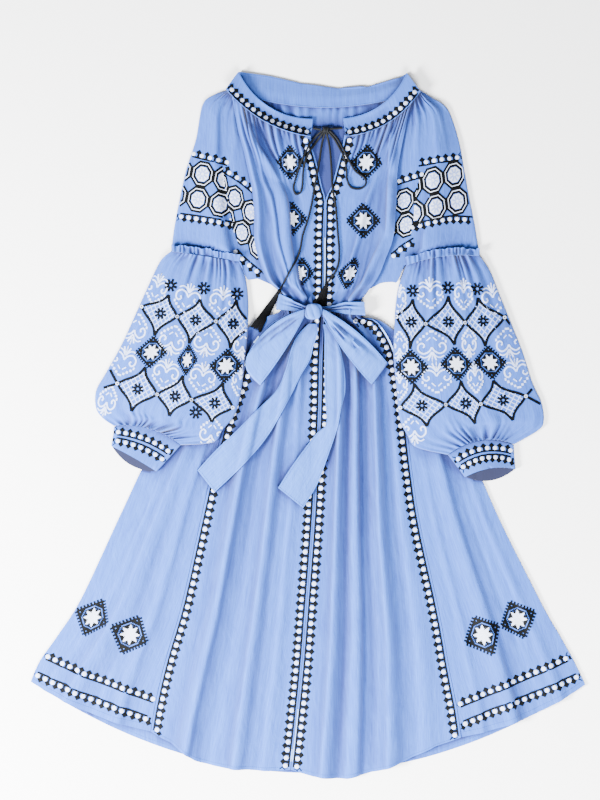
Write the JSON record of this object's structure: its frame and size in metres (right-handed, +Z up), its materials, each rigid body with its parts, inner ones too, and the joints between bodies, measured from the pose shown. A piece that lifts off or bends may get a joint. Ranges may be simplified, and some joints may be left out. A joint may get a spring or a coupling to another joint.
{
  "type": "a-line dress",
  "caption": "Embroidered a-line dress with gathered raglan sleeves, neckband tie and bow-tied sash, laid flat with its front up.",
  "frame": {"origin": "centre of the dress's outline, on the surface that it lies on", "axes": "+X to the viewer's right across the dress, +Y from hem to neck, +Z up from the surface, front up"},
  "size_m": [0.9236, 1.1762, 0.0295],
  "materials": {
    "dress_cloth": "matte light-blue chambray",
    "band_cloth": "matte light-blue chambray, stiffened",
    "sash_cloth": "matte light-blue chambray",
    "tie_cord": "black braided cord",
    "tassel_thread": "black embroidery thread"
  },
  "bodies": {
    "root": {"back": "dress_cloth", "upper_sleeve_left": "dress_cloth", "upper_sleeve_right": "dress_cloth", "gore_left": "dress_cloth", "gore_right": "dress_cloth", "front_left": "dress_cloth", "front_right": "dress_cloth", "lower_sleeve_left": "dress_cloth", "lower_sleeve_right": "dress_cloth", "heading_left": "dress_cloth", "cuff_left": "band_cloth", "heading_right": "dress_cloth", "cuff_right": "band_cloth", "neckband_back": "band_cloth", "neckband_left": "band_cloth", "neckband_right": "band_cloth", "sash_waist": "sash_cloth", "tie_bar_left": "tie_cord", "tie_bar_right": "tie_cord", "tie_loop_left": "tie_cord", "tie_loop_right": "tie_cord", "tie_tail_left": "tie_cord", "tie_tail_right": "tie_cord", "tie_knot": "tie_cord", "tassel_left": "tassel_thread", "tassel_right": "tassel_thread", "sash_knot": "sash_cloth", "sash_tail_left": "sash_cloth", "sash_tail_right": "sash_cloth", "sash_loop_left": "sash_cloth", "sash_loop_right": "sash_cloth"}
  },
  "joints": []
}
